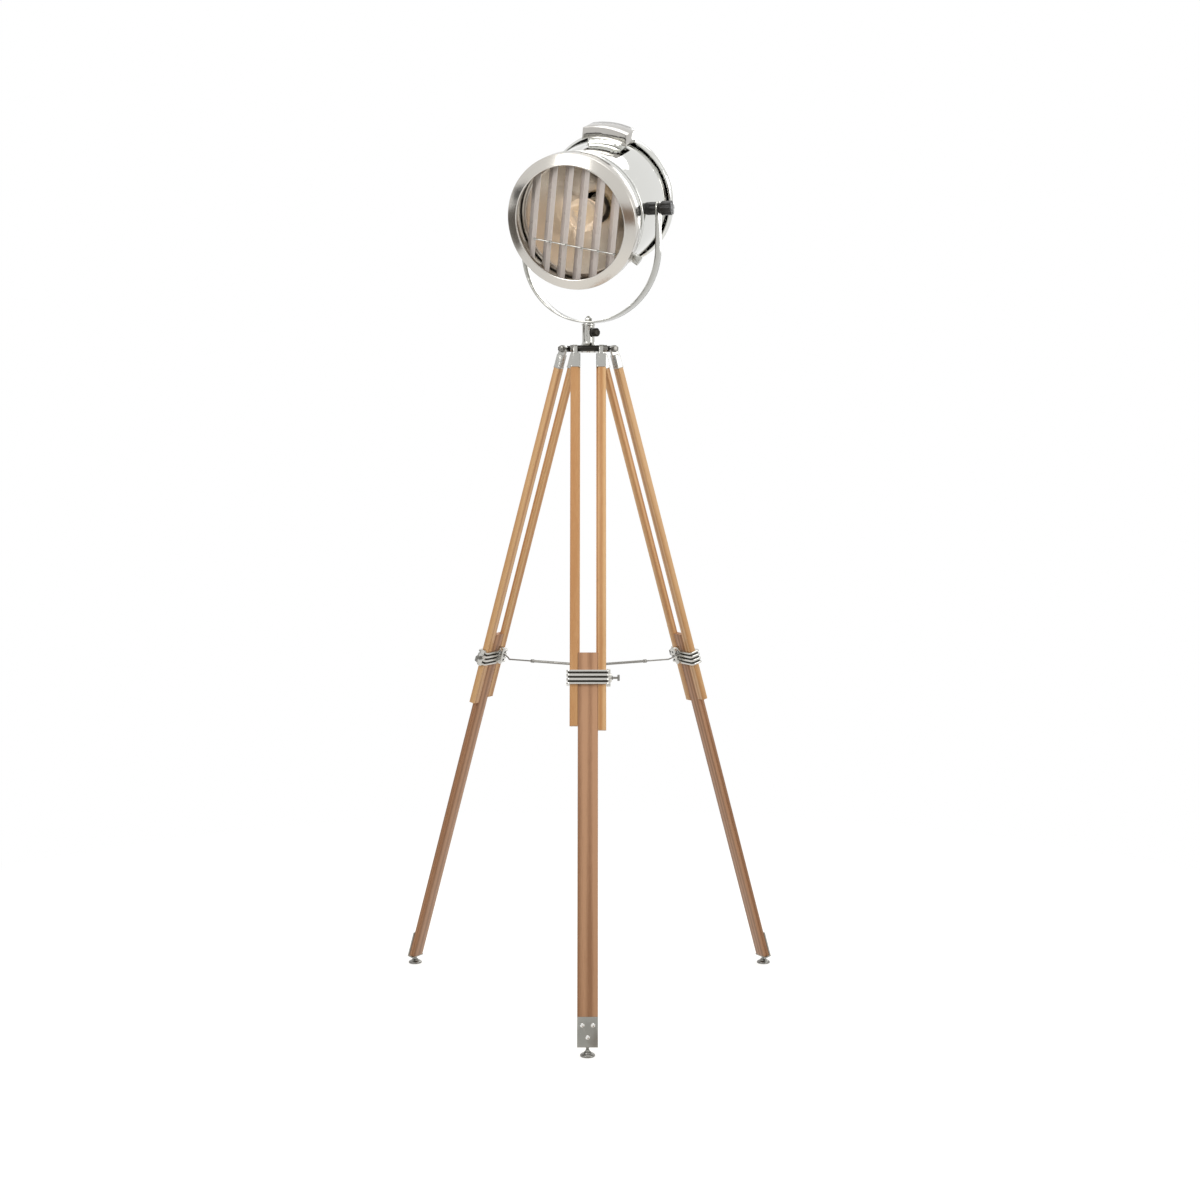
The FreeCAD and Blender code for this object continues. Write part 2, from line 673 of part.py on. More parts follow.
def make_vent_throat():
    half = 33.0
    front = -vent_front + 7
    rear = -vent_front + vent_depth - 7
    top = roof_radius() - sheet
    outer = box(-half, half, front, rear, 90, 150)
    inner = box(-half + sheet, half - sheet, front + sheet, rear - sheet, 80, 160)
    tube = outer.cut(inner)
    tube = tube.common(Part.makeCylinder(top, 200, Vec(0, 0, 0), Y_AXIS))
    below = spun([(60, 0), (60, cone_radius(60)), (body_rear, cone_radius(body_rear)), (body_rear, 0)])
    tube = tube.cut(below)
    for k in (-2, -1, 0, 1, 2):
        slot_at = 11.0 * k
        tube = tube.cut(box(slot_at - 3.5, slot_at + 3.5, 0, 200, 126, 131))
    return tube


def make_vent_screws():
    screws = []
    for side in (-1, 1):
        for along in (12, vent_depth - 12):
            station = -vent_front + along
            at = Vec(side * 33.0, station, 119.6)
            screws.append(Part.makeCone(2.9, 1.8, 2.4, at, Vec(side, 0, 0)))
    return Part.makeCompound(screws)


# ---- lamp inside: reflector, holder and bulb ----
def reflector_radius(station, rim, deepest, mouth):
    return rim * math.sqrt(max(0.0, (station - deepest) / (mouth - deepest)))


def make_reflector():
    mouth = 66.0
    deepest = -30.0
    rim = 100.0
    outer = []
    for step in range(9):
        station = mouth - (mouth + 22.0) * step / 8
        outer.append((station, reflector_radius(station, rim, deepest, mouth)))
    inner = [(station - sheet, radius) for station, radius in reversed(outer)]
    seat = mouth - sheet
    seat_radius = collar_front_radius - sheet - (collar_front - seat) * collar_slope() - 0.05
    flange = [(mouth - sheet, seat_radius), (mouth, seat_radius)]
    return spun(outer + inner + flange)


def collar_slope():
    run = collar_front - bead_station - 2.5
    return (collar_front_radius - collar_rear_radius) / run


def make_lampholder():
    body = rod(19.5, Vec(0, 78, 0), Vec(0, 24, 0))
    ring = rod(23.0, Vec(0, 52, 0), Vec(0, 56, 0))
    strap_half = 9.0
    fit = sheet + 0.05
    drum_room = spun([(-70, 0), (-70, cone_radius(-70) - fit), (-84, cone_radius(-84) - fit), (-84, 0)])
    strap = box(-strap_half, strap_half, 76, 78, -130, 130).common(drum_room)
    holder = fused([body, ring, strap])
    well = rod(13.6, Vec(0, 20, 0), Vec(0, 50, 0))
    return holder.cut(well)


def make_bulb_cap():
    return rod(13.0, Vec(0, 18, 0), Vec(0, 50, 0))


def make_bulb():
    # pear-shaped glass from its neck to its crown
    points = []
    crown = 66.0
    centre = 36.0
    for step in range(13):
        swing = math.radians(148 * step / 12)
        points.append((centre + 30 * math.cos(swing), 30 * math.sin(swing)))
    points += [(-4, 13.4), (-18, 12.8), (-18, 0)]
    profile = [Vec(radius, -station, 0) for station, radius in points]
    profile[0] = Vec(0, -crown, 0)
    loop = Part.makePolygon(profile + [profile[0]])
    return Part.Face(loop).revolve(ORIGIN, Y_AXIS, 360)


# ---- door: front bezel, shutter band, blades and tie bar ----
def bezel_back(radius):
    # station of the bezel's sloped back face, which the shutter band stands against
    return front_face - 2.2 - (radius - window_radius - 3.4) * 0.48


def make_bezel():
    outer = [(skirt_rear, bezel_radius), (front_face - bezel_slope - 1.2, bezel_radius)]
    outer += [(front_face - bezel_slope - 0.2, bezel_radius - 0.6), (front_face - 0.6, window_radius + 3.2)]
    outer += [(front_face, window_radius + 1.8), (front_face - 0.6, window_radius + 0.4)]
    outer += [(front_face - 1.8, window_radius)]
    inner = [(front_face - 4.2, window_radius), (front_face - 4.2, window_radius + sheet)]
    inner += [(front_face - 2.4, window_radius + 1.4), (bezel_back(window_radius + 3.4), window_radius + 3.4)]
    inner += [(bezel_back(bezel_radius - 2), bezel_radius - 2), (front_face - bezel_slope - 2.6, bezel_radius - sheet)]
    inner += [(skirt_rear, bezel_radius - sheet)]
    bezel = spun(outer + inner)
    room = box(106, 140, -door_hinge_station - 6, -door_hinge_station + 8, -17, 17)
    bezel = bezel.cut(round_head(room, door_hinge_angle))
    tab_high = bezel_radius + 0.3
    tab = box(bezel_radius - sheet, tab_high, -skirt_rear - 3, -catch_station + 8, -7, 7)
    slot = box(100, 140, -catch_station - 3, -catch_station + 20, -2.8, 2.8)
    slot_end = rod(2.8, Vec(100, -catch_station - 3, 0), Vec(140, -catch_station - 3, 0))
    tab = tab.cut(slot).cut(slot_end)
    leaf = box(bezel_radius - 0.4, door_hinge_radius, -door_hinge_station - 14, -door_hinge_station - 1, -5.0, 5.0)
    knuckle = rod(3.0, Vec(door_hinge_radius, -door_hinge_station, -5.0),
                  Vec(door_hinge_radius, -door_hinge_station, 5.0))
    arm = box(door_hinge_radius - 2, door_hinge_radius + 1.5, -door_hinge_station - 9, -door_hinge_station, -5, 5)
    hinge_leaf = fused([leaf.cut(box(100, 140, -door_hinge_station - 7, 0, -6, 6)), arm, knuckle])
    pin_hole = rod(1.56, Vec(door_hinge_radius, -door_hinge_station, -6),
                   Vec(door_hinge_radius, -door_hinge_station, 6))
    hinge_leaf = hinge_leaf.cut(pin_hole)
    return fused([bezel, round_head(tab, catch_angle), round_head(hinge_leaf, door_hinge_angle)])


def collar_solid():
    # everything within the collar's outer face, for trimming what sits on it
    ahead = collar_front_radius + 10 * collar_slope()
    behind = collar_front_radius - (collar_front - 30) * collar_slope()
    return spun([(collar_front + 10, 0), (collar_front + 10, ahead), (30, behind), (30, 0)])


def make_door_hinge():
    # bracket on the collar with two knuckles and the pin through all three
    pieces = []
    low = -door_hinge_station
    for side in (-1, 1):
        knuckle = rod(3.0, Vec(door_hinge_radius, low, side * 5.3), Vec(door_hinge_radius, low, side * 14))
        bridge = box(113.0, door_hinge_radius - 0.5, low - 1.0, low + 3.0, min(side * 5.3, side * 14),
                     max(side * 5.3, side * 14))
        pieces += [knuckle, bridge]
    plate = box(113.0, 119.0, low - 1.0, low + 12, -14, 14)
    pin = rod(1.5, Vec(door_hinge_radius, low, -15), Vec(door_hinge_radius, low, 15))
    bracket = fused(pieces + [plate, pin])
    turned = round_head(bracket, door_hinge_angle)
    return turned.cut(collar_solid())


def make_catch_stud():
    surface = collar_front_radius - (collar_front - catch_station) * collar_slope()
    stud = rod(2.5, Vec(surface - 0.6, -catch_station, 0), Vec(132, -catch_station, 0))
    return round_head(stud, catch_angle).cut(collar_solid())


def make_catch_nut():
    low = bezel_radius + 1.1
    grip = rod(8.6, Vec(low + 2.0, -catch_station, 0), Vec(low + 12.5, -catch_station, 0))
    foot = rod(6.4, Vec(low, -catch_station, 0), Vec(low + 2.5, -catch_station, 0))
    nut = fused([foot, grip])
    for k in range(14):
        turn = math.radians(360 * k / 14)
        groove_at = Vec(low + 3.4, -catch_station + 8.9 * math.cos(turn), 8.9 * math.sin(turn))
        nut = nut.cut(rod(0.9, groove_at, groove_at + Vec(8.0, 0, 0)))
    nut = nut.cut(rod(2.56, Vec(low - 1, -catch_station, 0), Vec(132.3, -catch_station, 0)))
    return round_head(nut, catch_angle)


def slat_place(index):
    return slat_pitch * (index - (slat_count - 1) / 2)


def make_shutter_band():
    back = slat_plane - 16
    outside = band_radius + 1.5
    ring = spun([(back, band_radius), (bezel_back(band_radius) - 0.02, band_radius),
                 (bezel_back(outside) - 0.02, outside), (back, outside)])
    for index in range(slat_count):
        at = slat_place(index)
        ring = ring.cut(rod(1.26, Vec(at, -slat_plane, -130), Vec(at, -slat_plane, 130)))
    return ring


def blade_reach(across):
    return math.sqrt((band_radius - 0.5) ** 2 - across ** 2)


def make_slat(index):
    at = slat_place(index)
    side = 1 if at > 0 else -1
    half_width = slat_width / 2
    tall = blade_reach(at)
    short = blade_reach(abs(at) + half_width)
    # blade lies along X here, its front edge at +X, and is turned open afterwards
    outline = [Vec(-side * half_width, 0, tall), Vec(0, 0, tall), Vec(side * half_width, 0, short),
               Vec(side * half_width, 0, -short), Vec(0, 0, -tall), Vec(-side * half_width, 0, -tall)]
    outline = [point + Vec(0, -slat_thickness / 2, 0) for point in outline]
    blade = prism(outline, Vec(0, slat_thickness, 0))
    pin_end = math.sqrt(band_radius ** 2 - at ** 2) + 1.2
    pin = rod(1.2, Vec(0, 0, -pin_end), Vec(0, 0, pin_end))
    fork_outline = [Vec(12.5, 0.45, 0), Vec(15.8, 0.45, 0), Vec(19.2, -1.4, 0), Vec(19.2, -3.6, 0),
                    Vec(16.4, -4.2, 0), Vec(12.5, -0.45, 0)]
    upper = prism([point + Vec(0, 0, tie_height + 2.4) for point in fork_outline], Vec(0, 0, 1))
    lower = prism([point + Vec(0, 0, tie_height - 3.4) for point in fork_outline], Vec(0, 0, 1))
    tie_pin = rod(0.8, Vec(tie_reach, -tie_standoff, tie_height - 3.8),
                  Vec(tie_reach, -tie_standoff, tie_height + 3.8))
    slat = fused([blade, pin, upper, lower, tie_pin])
    # turning by 90 degrees less the opening angle swings the front edge from +X to the front
    slat.rotate(ORIGIN, Z_AXIS, -(90 - slat_angle))
    slat.translate(Vec(at, -slat_plane, 0))
    return slat


def tie_point(index):
    turn = math.radians(-(90 - slat_angle))
    x = tie_reach * math.cos(turn) + tie_standoff * math.sin(turn)
    y = tie_reach * math.sin(turn) - tie_standoff * math.cos(turn)
    return Vec(slat_place(index) + x, -slat_plane + y, tie_height)


def make_tie_bar():
    first = tie_point(0)
    last = tie_point(slat_count - 1)
    bar = rod(1.2, first - Vec(3, 0, 0), last + Vec(3, 0, 0))
    pieces = [bar]
    holes = []
    for index in range(slat_count):
        at = tie_point(index)
        pieces.append(rod(2.1, at - Vec(0, 0, 2.1), at + Vec(0, 0, 2.1)))
        holes.append(rod(0.86, at - Vec(0, 0, 4), at + Vec(0, 0, 4)))
    tie = fused(pieces)
    for hole in holes:
        tie = tie.cut(hole)
    return tie


# ---- write every piece in its place ----
save("tripod_hub", on_stand(make_hub()))
save("hinge_bolts", on_stand(make_hinge_bolts()))
save("pan_lock_knob", on_stand(make_pan_lock()))

left_rail = make_rail(-1, left_rail_end)
right_rail = make_rail(1, right_rail_end)
ferrules = make_ferrules()
clamp = make_clamp()
thumbscrew = make_thumbscrew()
lower_leg = make_lower_leg()
shoe = make_shoe()
foot_stud = make_foot_stud()
shoe_with_stud = Part.makeCompound(list(shoe.Solids) + [foot_stud])
spreader_rod = make_spreader_rod()
for leg, turn in leg_turn.items():
    save("left_rail_" + leg, on_leg(left_rail, turn))
    save("right_rail_" + leg, on_leg(right_rail, turn))
    save("ferrules_" + leg, on_leg(ferrules, turn))
    save("leg_clamp_" + leg, on_leg(clamp, turn))
    save("thumbscrew_" + leg, on_leg(thumbscrew, turn))
    save("lower_leg_" + leg, on_leg(lower_leg, turn))
    save("shoe_" + leg, on_leg(shoe_with_stud, turn))
    save("foot_" + leg, make_foot(turn))
    hooked = spreader_rod.copy()
    hooked.rotate(ORIGIN, Z_AXIS, turn)
    save("spreader_rod_" + leg, on_stand(hooked))
save("spreader_hub", on_stand(make_spreader_hub()))
save("spreader_tubes", on_stand(make_spreader_tubes()))

save("yoke", on_yoke(make_yoke()))
save("swivel_post", on_post(make_post()))
bushes = make_tilt_bushes()
save("tilt_bushes", on_pivots(Part.makeCompound(bushes)))
save("tilt_knob_left", on_pivots(make_tilt_knob(-1)))
save("tilt_knob_right", on_pivots(make_tilt_knob(1)))

save("drum_shell", on_head(make_drum()))
save("front_collar", on_head(make_collar()))
save("rear_cover", on_head(make_rear_cover()))
save("cord_gland", on_head(make_cord_gland()))
save("vent_cap", on_head(make_vent_cap()))
save("vent_throat", on_head(make_vent_throat()))
save("vent_screws", on_head(make_vent_screws()))
save("reflector", on_head(make_reflector()))
save("lampholder", on_head(make_lampholder()))
save("bulb_cap", on_head(make_bulb_cap()))
save("bulb_glass", on_head(make_bulb()))
save("door_hinge", on_head(make_door_hinge()))
save("catch_stud", on_head(make_catch_stud()))
save("catch_nut", on_head(make_catch_nut()))
save("bezel", on_head(make_bezel()))
save("shutter_band", on_head(make_shutter_band()))
for index in range(slat_count):
    save("slat_%d" % (index + 1), on_head(make_slat(index)))
save("tie_bar", on_head(make_tie_bar()))
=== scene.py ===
import json
import math
import bpy
from mathutils import Matrix, Vector

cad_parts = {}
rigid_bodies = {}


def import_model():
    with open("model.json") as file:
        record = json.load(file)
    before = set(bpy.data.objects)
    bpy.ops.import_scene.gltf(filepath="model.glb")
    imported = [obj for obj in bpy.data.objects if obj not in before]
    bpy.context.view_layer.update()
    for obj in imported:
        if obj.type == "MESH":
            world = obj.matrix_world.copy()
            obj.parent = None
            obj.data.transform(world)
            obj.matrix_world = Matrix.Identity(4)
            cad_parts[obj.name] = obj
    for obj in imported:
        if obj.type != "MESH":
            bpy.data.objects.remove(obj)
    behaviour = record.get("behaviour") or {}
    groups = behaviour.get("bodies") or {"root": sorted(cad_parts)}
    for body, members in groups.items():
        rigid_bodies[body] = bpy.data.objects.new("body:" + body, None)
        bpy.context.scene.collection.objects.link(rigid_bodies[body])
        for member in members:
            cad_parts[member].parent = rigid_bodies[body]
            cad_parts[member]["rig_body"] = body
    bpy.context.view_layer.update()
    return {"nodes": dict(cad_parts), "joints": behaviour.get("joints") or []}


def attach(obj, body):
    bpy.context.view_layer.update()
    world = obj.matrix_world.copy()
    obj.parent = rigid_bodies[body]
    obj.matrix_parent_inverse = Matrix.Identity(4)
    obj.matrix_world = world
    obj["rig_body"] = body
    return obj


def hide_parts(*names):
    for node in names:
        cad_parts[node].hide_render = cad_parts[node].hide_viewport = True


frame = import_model()
joints = {joint["name"]: joint for joint in frame["joints"]}
scene = bpy.context.scene


# ---- Studio ----
# A white seamless floor under soft lamps, as for a catalogue picture. Dark cards stand
# out of the view on each side, because polished metal shows only what is round it.
def linear(hex_colour):
    channels = [int(hex_colour[at:at + 2], 16) / 255 for at in (1, 3, 5)]
    return [c / 12.92 if c <= 0.04045 else ((c + 0.055) / 1.055) ** 2.4 for c in channels] + [1.0]


def add_node(tree, kind, settings={}, links={}):
    node = tree.nodes.new(kind)
    for name, value in settings.items():
        if isinstance(name, int) or name in node.inputs:
            node.inputs[name].default_value = value
        else:
            setattr(node, name, value)
    for name, output in links.items():
        tree.links.new(output, node.inputs[name])
    return node


def new_material(name):
    material = bpy.data.materials.new(name)
    material.use_nodes = True
    material.node_tree.nodes.clear()
    return material, material.node_tree


stand_axis = Vector(joints["pan"]["pos_m"])
camera_distance = 3.890
camera_height = 1.114
camera_side = 0.021
camera_pitch = 5.60
lens_mm = 63.99

camera_data = bpy.data.cameras.new("camera")
camera_data.lens = lens_mm
camera_data.sensor_width = 36.0
camera = bpy.data.objects.new("camera", camera_data)
scene.collection.objects.link(camera)
camera.location = (camera_side, stand_axis.y - camera_distance, camera_height)
camera.rotation_euler = (math.radians(90 - camera_pitch), 0, 0)
scene.camera = camera

scene.view_settings.view_transform = "Standard"
surround = bpy.data.worlds.new("white_surround")
scene.world = surround
surround.use_nodes = True
tree = surround.node_tree
tree.nodes.clear()


def background_rays(tree):
    # the rays that see the white background: from the camera, off metal and through glass
    rays = add_node(tree, "ShaderNodeLightPath")
    seen = add_node(tree, "ShaderNodeMath", {"operation": "MAXIMUM"},
                    {0: rays.outputs["Is Camera Ray"], 1: rays.outputs["Is Glossy Ray"]})
    return add_node(tree, "ShaderNodeMath", {"operation": "MAXIMUM"},
                    {0: seen.outputs[0], 1: rays.outputs["Is Transmission Ray"]})


shown = background_rays(tree)
soft_light = add_node(tree, "ShaderNodeBackground", {"Color": linear("#FBF7F1"), "Strength": 0.68})
white = add_node(tree, "ShaderNodeBackground", {"Color": (1, 1, 1, 1), "Strength": 1.0})
mixed = add_node(tree, "ShaderNodeMixShader", {},
                 {0: shown.outputs[0], 1: soft_light.outputs[0], 2: white.outputs[0]})
add_node(tree, "ShaderNodeOutputWorld", {}, {"Surface": mixed.outputs[0]})

floor_material, tree = new_material("pale_floor")
paint = add_node(tree, "ShaderNodeBsdfDiffuse", {"Color": linear("#A3A19D")})
glow = add_node(tree, "ShaderNodeEmission", {"Color": (1, 1, 1, 1), "Strength": 0.78})
both = add_node(tree, "ShaderNodeAddShader", {}, {0: paint.outputs[0], 1: glow.outputs[0]})
white = add_node(tree, "ShaderNodeEmission", {"Color": (1, 1, 1, 1), "Strength": 1.0})
spot = add_node(tree, "ShaderNodeTexCoord")
away = add_node(tree, "ShaderNodeVectorMath", {"operation": "LENGTH"}, {0: spot.outputs["Object"]})
fade = add_node(tree, "ShaderNodeMapRange", {"From Min": 0.7, "From Max": 1.8},
                {"Value": away.outputs["Value"]})
far = add_node(tree, "ShaderNodeMixShader", {},
               {0: fade.outputs[0], 1: both.outputs[0], 2: white.outputs[0]})
shown = background_rays(tree)
mixed = add_node(tree, "ShaderNodeMixShader", {},
                 {0: shown.outputs[0], 1: paint.outputs[0], 2: far.outputs[0]})
add_node(tree, "ShaderNodeOutputMaterial", {}, {"Surface": mixed.outputs[0]})

bpy.ops.object.select_all(action="DESELECT")
bpy.ops.mesh.primitive_circle_add(vertices=96, radius=30.0, fill_type="NGON", location=(0, 0, -0.0005))
floor = bpy.context.object
floor.name = "floor"
floor.data.materials.append(floor_material)

lamp_aim = Vector((0, stand_axis.y, 1.0))
lamps = (("key_lamp", (-1.9, -2.5, 2.7), 1.5, 32),
         ("fill_lamp", (2.6, -1.6, 1.5), 1.6, 22),
         ("top_lamp", (0.3, 0.6, 3.4), 1.8, 18),
         ("rear_lamp", (1.2, 2.9, 2.2), 1.4, 18))
for name, place, side, power in lamps:
    lamp_data = bpy.data.lights.new(name, "AREA")
    lamp_data.shape = "SQUARE"
    lamp_data.size = side
    lamp_data.energy = power
    lamp = bpy.data.objects.new(name, lamp_data)
    scene.collection.objects.link(lamp)
    lamp.location = place
    lamp.rotation_euler = (lamp_aim - Vector(place)).to_track_quat("-Z", "Y").to_euler()

card_tones = {"black_card": "#171616", "grey_card": "#75716D", "brown_card": "#94765A"}
for name, tone in card_tones.items():
    card_material, tree = new_material(name)
    paint = add_node(tree, "ShaderNodeBsdfDiffuse", {"Color": linear(tone)})
    add_node(tree, "ShaderNodeOutputMaterial", {}, {"Surface": paint.outputs[0]})
card_aim = Vector((0, stand_axis.y, 1.3))
cards = (("card_left", (-2.4, -0.15, 1.52), 0.8, 0.4, "black_card"),
         ("card_low_left", (-2.4, 0.3, 0.75), 1.5, 1.0, "grey_card"),
         ("card_low_front", (0.6, -2.8, 0.3), 1.3, 0.9, "brown_card"),
         ("card_front_left", (-1.5, -3.0, 1.2), 0.3, 2.0, "black_card"),
         ("card_front_right", (1.7, -2.4, 1.2), 0.35, 2.0, "black_card"))
for name, place, wide, tall, tone in cards:
    bpy.ops.object.select_all(action="DESELECT")
    bpy.ops.mesh.primitive_plane_add(size=1, location=place)
    card = bpy.context.object
    card.name = name
    card.scale = (wide, tall, 1)
    card.rotation_euler = (card_aim - Vector(place)).to_track_quat("Z", "Y").to_euler()
    card.data.materials.append(bpy.data.materials[tone])
    card.visible_camera = False
    card.visible_shadow = False
    card.visible_diffuse = False


# ---- Tripod hub ----
# One nickel-plated casting: a flared centre with a sleeve on top for the lamp's post, and
# three arms that end in hinge barrels. Plated over a tumbled casting, so it is softly rippled.
def place_of(origin, across, up):
    across = Vector(across).normalized()
    up = Vector(up).normalized()
    depth = up.cross(across)
    place = Matrix((across, depth, up)).transposed().to_4x4()
    place.translation = Vector(origin)
    return place


def local_space(tree, place):
    # a pattern's coordinates, measured from a place on the lamp and along its directions
    spot = add_node(tree, "ShaderNodeTexCoord")
    return add_node(tree, "ShaderNodeMapping",
                    {"vector_type": "TEXTURE", "Location": place.translation, "Rotation": place.to_euler()},
                    {"Vector": spot.outputs["Object"]})


def plated(name, tone, roughness, ripple_mm, ripple, smear=0.06, place=Matrix.Identity(4)):
    # a polished metal face: slow ripples from the buffing wheel and faint cloudy smears
    material, tree = new_material(name)
    local = local_space(tree, place)
    waves = add_node(tree, "ShaderNodeTexNoise", {"Scale": 1000 / ripple_mm, "Detail": 2.0},
                     {"Vector": local.outputs[0]})
    smears = add_node(tree, "ShaderNodeTexNoise", {"Scale": 1000 / 22, "Detail": 5.0, "Roughness": 0.6},
                      {"Vector": local.outputs[0]})
    rough = add_node(tree, "ShaderNodeMapRange",
                     {"To Min": max(roughness - smear / 2, 0.01), "To Max": roughness + smear},
                     {"Value": smears.outputs["Fac"]})
    bump = add_node(tree, "ShaderNodeBump", {"Strength": ripple, "Distance": ripple_mm / 4000},
                    {"Height": waves.outputs["Fac"]})
    metal = add_node(tree, "ShaderNodeBsdfPrincipled", {"Base Color": linear(tone), "Metallic": 1.0},
                     {"Roughness": rough.outputs[0], "Normal": bump.outputs[0]})
    add_node(tree, "ShaderNodeOutputMaterial", {}, {"Surface": metal.outputs[0]})
    return material


def select_only(piece):
    bpy.ops.object.select_all(action="DESELECT")
    bpy.context.view_layer.objects.active = piece
    piece.select_set(True)


rounded_corner, smooth_corner = 32, 40


def dressed(node, edge_mm, material):
    # the finished piece: the node's own faces, joined up, with its sharp edges rounded over
    piece = bpy.data.objects.new(node + "_finished", frame["nodes"][node].data.copy())
    scene.collection.objects.link(piece)
    select_only(piece)
    bpy.ops.object.mode_set(mode="EDIT")
    bpy.ops.mesh.select_all(action="SELECT")
    bpy.ops.mesh.customdata_custom_splitnormals_clear()
    bpy.ops.mesh.remove_doubles(threshold=1e-6)
    bpy.ops.mesh.dissolve_limited(angle_limit=math.radians(0.6))
    bpy.ops.object.mode_set(mode="OBJECT")
    if edge_mm:
        rounding = piece.modifiers.new("rounded_edges", "BEVEL")
        rounding.width = edge_mm / 1000
        rounding.segments = 2
        rounding.angle_limit = math.radians(rounded_corner)
        rounding.use_clamp_overlap = True
        bpy.ops.object.modifier_apply(modifier=rounding.name)
    bpy.ops.object.shade_smooth_by_angle(angle=math.radians(smooth_corner))
    piece.data.materials.clear()
    piece.data.materials.append(material)
    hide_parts(node)
    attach(piece, frame["nodes"][node]["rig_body"])
    return piece


def second_finish(piece, material, chosen):
    # gives the faces whose centres are chosen another finish
    piece.data.materials.append(material)
    for face in piece.data.polygons:
        if chosen(face.center):
            face.material_index = 1


sleeve_foot_radius, arm_top = 0.019, 1.1966


# the arms, centre and hinge barrels below the sleeve take painted shade: a near-black painted reflection
def in_arms_painted_shade(at):
    out = math.hypot(at.x - stand_axis.x, at.y - stand_axis.y)
    return out > sleeve_foot_radius and at.z < arm_top


cast_nickel = plated("cast_nickel", "#B9B8B2", 0.1, 5.0, 0.25)
# blackened steel for the knob, and also painted shade: the hub's arms, the clamps' grooves and the drum's seam
# line
blackened_and_painted_shade = plated("blackened_steel_and_painted_shade", "#35332F", 0.26, 2.0, 0.2, 0.12)
hub = dressed("tripod_hub", 0.5, cast_nickel)
# the hub's arms, centre and hinge barrels are painted near-black: a painted dark reflection on the nickel casting
second_finish(hub, blackened_and_painted_shade, in_arms_painted_shade)


# ---- Hinge bolts ----
# Zinc-plated steel hexagon bolts with flat washers and nuts, one through the top of each
# leg. Rolled and stamped steel, duller and darker than the castings beside it.
dark_nickel = plated("dark_nickel", "#84827D", 0.24, 2.5, 0.2, 0.12)
dressed("hinge_bolts", 0.25, dark_nickel)


# ---- Pan lock knob ----
# A turned steel thumb knob with coarse flutes, blackened, whose screw holds the post.
dressed("pan_lock_knob", 0.2, blackened_and_painted_shade)

# ---- Upper legs ----
# Two oak rails a leg, planed and rebated along the inner edge, with a thin satin oil.
# Each top sits in a cast ferrule; the grain runs down the rail and differs from stick to stick.
legs = ("front", "right", "left")


def leg_place(leg):
    fold = joints["fold_" + leg]
    down = Vector(joints["extend_" + leg]["axis"])
    return place_of(fold["pos_m"], fold["axis"], -down)


def oak(name, place, pale, deep, stick):
    # planed timber: bands of annual growth along the stick, fine pores, a soft oil sheen
    material, tree = new_material(name)
    local = local_space(tree, place)
    growth_mm, board_mm, pore_mm, pore_length_mm = 5.5, 26.0, 0.7, 16.0
    shifted = add_node(tree, "ShaderNodeMapping",
                       {"Location": (stick * 3.1, stick * 1.7, stick * 5.3),
                        "Scale": (1000 / board_mm, 1000 / board_mm, 1000 / (board_mm * 14))},
                       {"Vector": local.outputs[0]})
    board = add_node(tree, "ShaderNodeTexNoise", {"Scale": 1.0, "Detail": 3.0, "Distortion": 0.6},
                     {"Vector": shifted.outputs[0]})
    growth_space = add_node(tree, "ShaderNodeMapping",
                            {"Location": (stick * 1.3, stick * 0.7, stick * 2.1),
                             "Rotation": (0.02, 0.03, 0.5 + stick),
                             "Scale": (1000 / growth_mm, 1000 / growth_mm, 1000 / (growth_mm * 45))},
                            {"Vector": local.outputs[0]})
    growth = add_node(tree, "ShaderNodeTexWave", {"Scale": 0.16, "Distortion": 3.2, "Detail": 2.0,
                                                  "Detail Scale": 0.7}, {"Vector": growth_space.outputs[0]})
    pore_space = add_node(tree, "ShaderNodeMapping",
                          {"Location": (stick, stick, stick),
                           "Scale": (1000 / pore_mm, 1000 / pore_mm, 1000 / pore_length_mm)},
                          {"Vector": local.outputs[0]})
    pores = add_node(tree, "ShaderNodeTexNoise", {"Scale": 1.0, "Detail": 3.0, "Roughness": 0.6},
                     {"Vector": pore_space.outputs[0]})
    bands = add_node(tree, "ShaderNodeMix", {"data_type": "FLOAT", 0: 0.42},
                     {2: board.outputs["Fac"], 3: growth.outputs["Fac"]})
    toned = add_node(tree, "ShaderNodeMix", {"data_type": "FLOAT", 0: 0.3},
                     {2: bands.outputs[0], 3: pores.outputs["Fac"]})
    ramp = add_node(tree, "ShaderNodeValToRGB", {}, {"Fac": toned.outputs[0]})
    ramp.color_ramp.elements[0].position = 0.33
    ramp.color_ramp.elements[0].color = linear(deep)
    ramp.color_ramp.elements[1].position = 0.62
    ramp.color_ramp.elements[1].color = linear(pale)
    rough = add_node(tree, "ShaderNodeMapRange", {"To Min": 0.38, "To Max": 0.56},
                     {"Value": pores.outputs["Fac"]})
    bump = add_node(tree, "ShaderNodeBump", {"Strength": 0.35, "Distance": 0.0002},
                    {"Height": pores.outputs["Fac"]})
    timber = add_node(tree, "ShaderNodeBsdfPrincipled", {"IOR": 1.48, "Coat Weight": 0.12, "Coat Roughness": 0.3},
                      {"Base Color": ramp.outputs["Color"], "Roughness": rough.outputs[0],
                       "Normal": bump.outputs[0]})
    add_node(tree, "ShaderNodeOutputMaterial", {}, {"Surface": timber.outputs[0]})
    return material


ferrule_metal = plated("ferrule_nickel", "#B0AFAA", 0.16, 3.5, 0.5, 0.1)
for number, leg in enumerate(legs):
    place = leg_place(leg)
    for side, stick in (("left", number * 2 + 1), ("right", number * 2 + 2)):
        rail_oak = oak("oiled_oak_%s_%s" % (side, leg), place, "#E9BD88", "#C68F59", stick)
        dressed("%s_rail_%s" % (side, leg), 0.7, rail_oak)
    dressed("ferrules_" + leg, 0.6, ferrule_metal)


